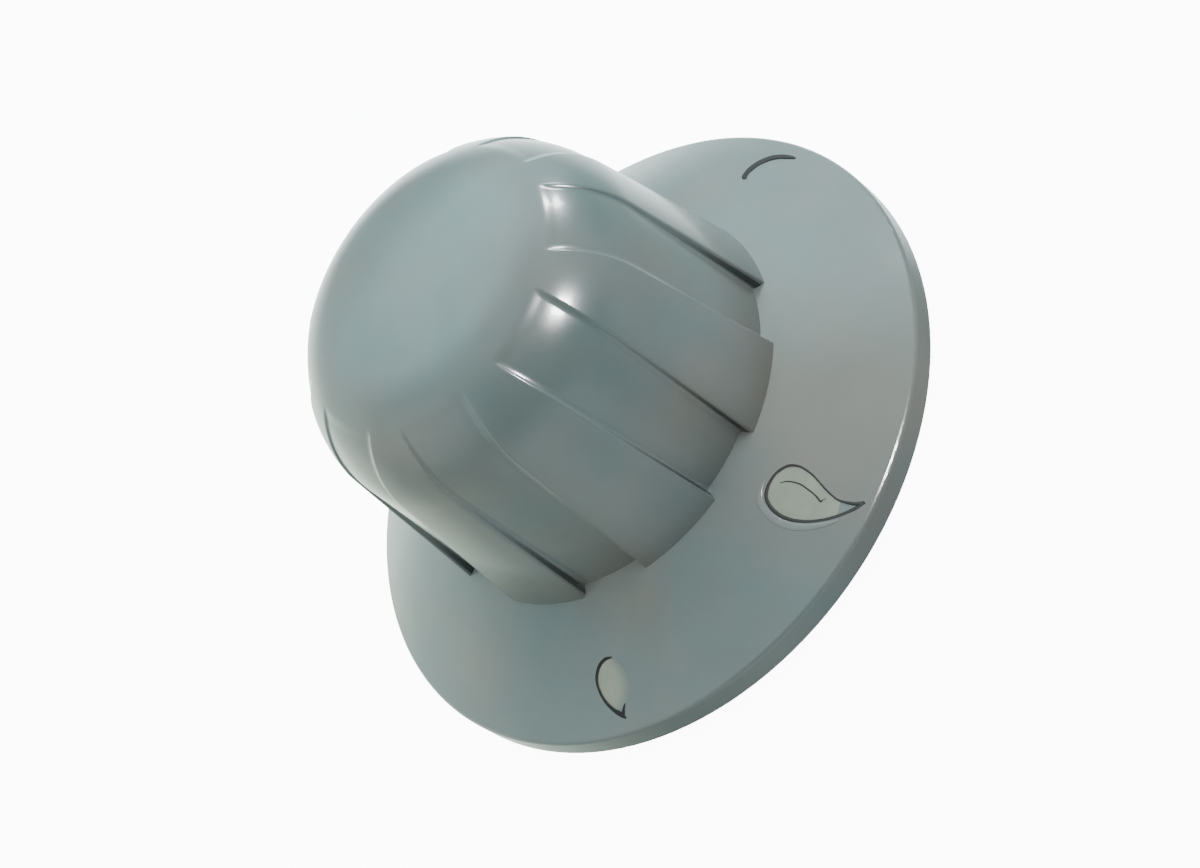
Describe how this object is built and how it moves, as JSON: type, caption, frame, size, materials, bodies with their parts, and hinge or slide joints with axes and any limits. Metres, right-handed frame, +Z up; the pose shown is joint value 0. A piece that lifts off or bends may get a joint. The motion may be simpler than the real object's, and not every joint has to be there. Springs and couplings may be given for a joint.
{
  "type": "motorised actuator head",
  "caption": "Motorised actuator head: fluted round hand grip on a flared dial skirt with flame marks, over a base plate with motor, gear train and stem bore.",
  "frame": {"origin": "centre of the base plate's underside, on the spindle axis", "axes": "+Z up along the spindle towards the grip's face; -Y is the front, where the large flame mark points"},
  "size_m": [0.1, 0.1, 0.0571],
  "materials": {
    "dial_plastic": "satin moulded",
    "mark_cream": "satin inlay",
    "frame_plastic": "glass-filled moulding",
    "gear_acetal": "natural acetal",
    "gear_blue": "tinted acetal",
    "brass": "turned",
    "zinc_steel": "zinc plated",
    "spring_steel": "drawn",
    "ferrite": "sintered ferrite",
    "laminated_iron": "laminated",
    "copper": "copper",
    "board_green": "solder mask",
    "chip_black": "moulded epoxy",
    "seal_rubber": "foam rubber",
    "socket_white": "nylon"
  },
  "bodies": {
    "chassis": {"base_plate": "frame_plastic", "base_seal": "seal_rubber", "lower_bush": "brass", "thrust_washer": "spring_steel", "gear_plate": "zinc_steel", "upper_bush": "brass", "gear_pins": "spring_steel", "plate_pillars": "frame_plastic", "base_screws": "zinc_steel", "plate_screws": "zinc_steel", "motor_can": "zinc_steel", "motor_magnets": "ferrite", "motor_bearing": "brass", "motor_end_cap": "frame_plastic", "motor_terminals": "copper", "motor_screws": "zinc_steel", "top_bridge": "zinc_steel", "top_bush": "brass", "bridge_posts": "brass", "bridge_screws": "zinc_steel", "control_board": "board_green", "board_spacers": "socket_white", "board_screws": "zinc_steel", "position_sensor": "socket_white", "control_chip": "chip_black", "motor_driver_chip": "chip_black", "board_capacitor": "spring_steel", "cable_socket": "socket_white", "socket_contacts": "brass"},
    "spindle": {"spindle": "brass"},
    "dial": {"grip_shell": "dial_plastic", "dial_skirt": "dial_plastic", "large_flame_mark": "mark_cream", "medium_flame_mark": "mark_cream", "small_flame_mark": "dial_plastic", "skirt_screws": "zinc_steel", "drive_core": "gear_acetal", "core_screws": "zinc_steel", "detent_clip": "spring_steel"},
    "output_gear": {"output_gear": "gear_acetal"},
    "second_stage": {"second_stage_gear": "gear_blue"},
    "first_stage": {"first_stage_gear": "gear_acetal"},
    "rotor": {"motor_shaft": "spring_steel", "motor_pinion": "brass", "motor_armature": "laminated_iron", "motor_commutator": "copper"},
    "sensor_gear": {"sensor_gear": "gear_blue"}
  },
  "joints": [
    {"name": "spindle_turn", "type": "hinge", "parent": "chassis", "child": "spindle", "pos_m": [0, 0, 0], "axis": [0, 0, 1], "range_deg": [-135, 135]},
    {"name": "grip_lift", "type": "slide", "parent": "spindle", "child": "dial", "axis": [0, 0, 1], "range_m": [0, 0.003]},
    {"name": "output_gear_turn", "type": "hinge", "parent": "chassis", "child": "output_gear", "pos_m": [0, 0, 0], "axis": [0, 0, 1], "range_deg": [-135, 135]},
    {"name": "second_stage_turn", "type": "hinge", "parent": "chassis", "child": "second_stage", "pos_m": [0.0104, -0.01801, 0], "axis": [0, 0, 1], "range_deg": [-450, 450]},
    {"name": "first_stage_turn", "type": "hinge", "parent": "chassis", "child": "first_stage", "pos_m": [0.01776, -0.0073, 0], "axis": [0, 0, 1], "range_deg": [-1500, 1500]},
    {"name": "rotor_turn", "type": "hinge", "parent": "chassis", "child": "rotor", "pos_m": [0.01537, 0.002, 0], "axis": [0, 0, 1], "range_deg": [-5700, 5700]},
    {"name": "sensor_turn", "type": "hinge", "parent": "chassis", "child": "sensor_gear", "pos_m": [0, 0.0224, 0], "axis": [0, 0, 1], "range_deg": [-337.5, 337.5]}
  ],
  "couplings": [
    {"joint": "output_gear_turn", "follows": "spindle_turn", "ratio": 1},
    {"joint": "second_stage_turn", "follows": "spindle_turn", "ratio": -3.3333},
    {"joint": "first_stage_turn", "follows": "spindle_turn", "ratio": 11.111},
    {"joint": "rotor_turn", "follows": "spindle_turn", "ratio": -42.222},
    {"joint": "sensor_turn", "follows": "spindle_turn", "ratio": -2.5}
  ]
}
